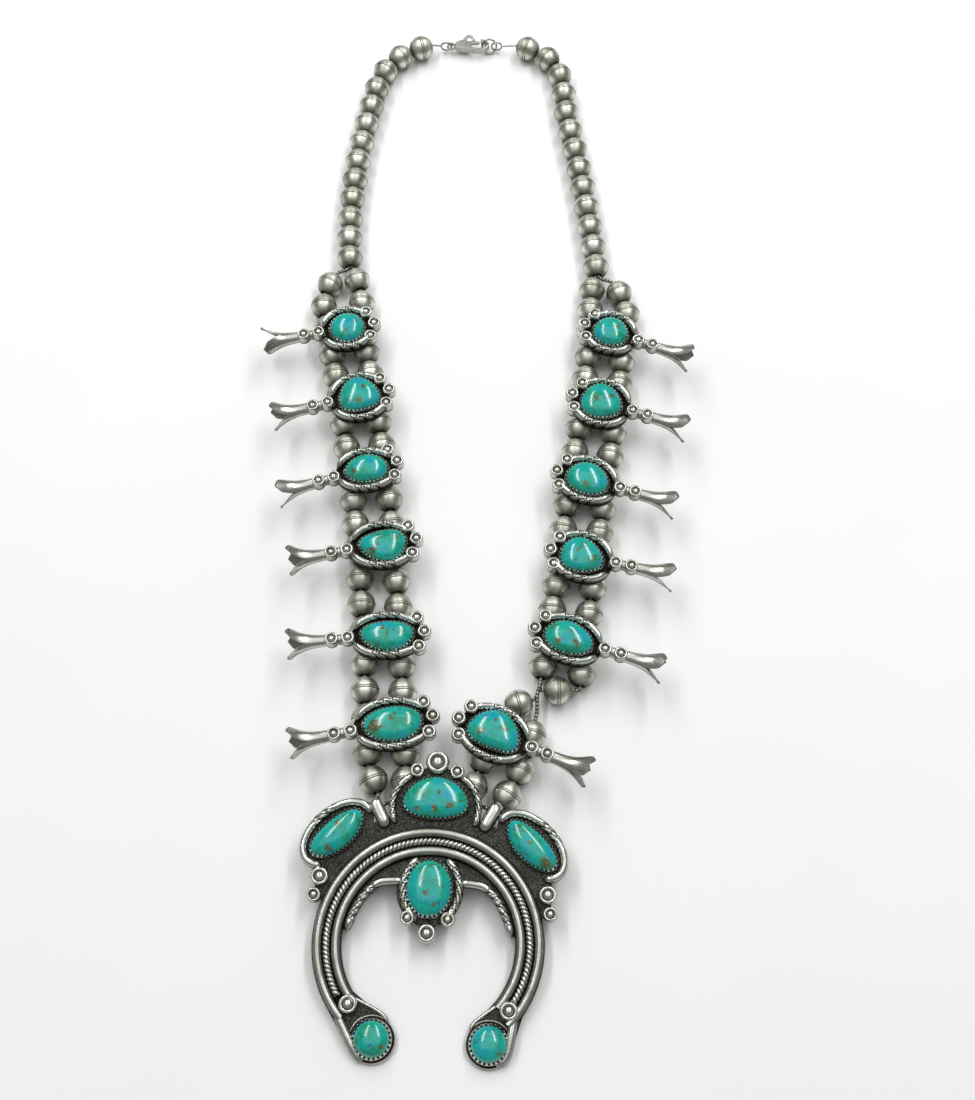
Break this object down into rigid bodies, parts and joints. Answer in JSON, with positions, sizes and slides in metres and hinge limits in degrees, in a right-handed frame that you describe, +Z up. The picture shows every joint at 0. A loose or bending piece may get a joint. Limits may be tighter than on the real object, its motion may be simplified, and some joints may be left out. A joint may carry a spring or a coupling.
{
  "type": "squash blossom necklace",
  "caption": "Squash blossom necklace lying flat: strings of round silver beads, stone-set blossoms with petalled flowers, a crescent pendant set with stones, and a lever clasp.",
  "frame": {"origin": "middle of the outline in plan, on the surface that the necklace lies on", "axes": "+Z up from the surface, +Y from the naja towards the clasp, +X to the right as seen with the naja nearest"},
  "size_m": [0.1441, 0.3689, 0.0156],
  "materials": {
    "silver": "antiqued sterling silver, polished high spots and blackened recesses",
    "bead_silver": "satin silver, softly brushed",
    "thread": "woven chain, darkened silver",
    "turquoise": "polished turquoise with brown and black matrix"
  },
  "bodies": {
    "necklace": {"naja": "silver", "top_stone": "turquoise", "left_ear_stone": "turquoise", "right_ear_stone": "turquoise", "arch_stone": "turquoise", "left_tip_stone": "turquoise", "right_tip_stone": "turquoise", "left_blossom_1": "silver", "left_blossom_2": "silver", "left_blossom_3": "silver", "left_blossom_4": "silver", "left_blossom_5": "silver", "left_blossom_6": "silver", "right_blossom_1": "silver", "right_blossom_2": "silver", "right_blossom_3": "silver", "right_blossom_4": "silver", "right_blossom_5": "silver", "right_blossom_6": "silver", "left_stone_1": "turquoise", "left_stone_2": "turquoise", "left_stone_3": "turquoise", "left_stone_4": "turquoise", "left_stone_5": "turquoise", "left_stone_6": "turquoise", "right_stone_1": "turquoise", "right_stone_2": "turquoise", "right_stone_3": "turquoise", "right_stone_4": "turquoise", "right_stone_5": "turquoise", "right_stone_6": "turquoise", "left_neck_beads": "bead_silver", "left_outer_beads": "bead_silver", "left_inner_beads": "bead_silver", "right_neck_beads": "bead_silver", "right_outer_beads": "bead_silver", "right_inner_beads": "bead_silver", "left_thread": "thread", "right_thread": "thread", "left_end_loop": "silver", "right_end_loop": "silver", "clasp_body": "silver", "clasp_ring": "silver"},
    "lever": {"clasp_lever": "silver"}
  },
  "joints": [
    {"name": "clasp_lever_hinge", "type": "hinge", "parent": "necklace", "child": "lever", "pos_m": [-0.00651, 0.18008, 0.00275], "axis": [0, 0, -1], "range_deg": [0, 14], "stiffness_Nm_per_rad": 0.002, "springref_deg": -11.46}
  ]
}
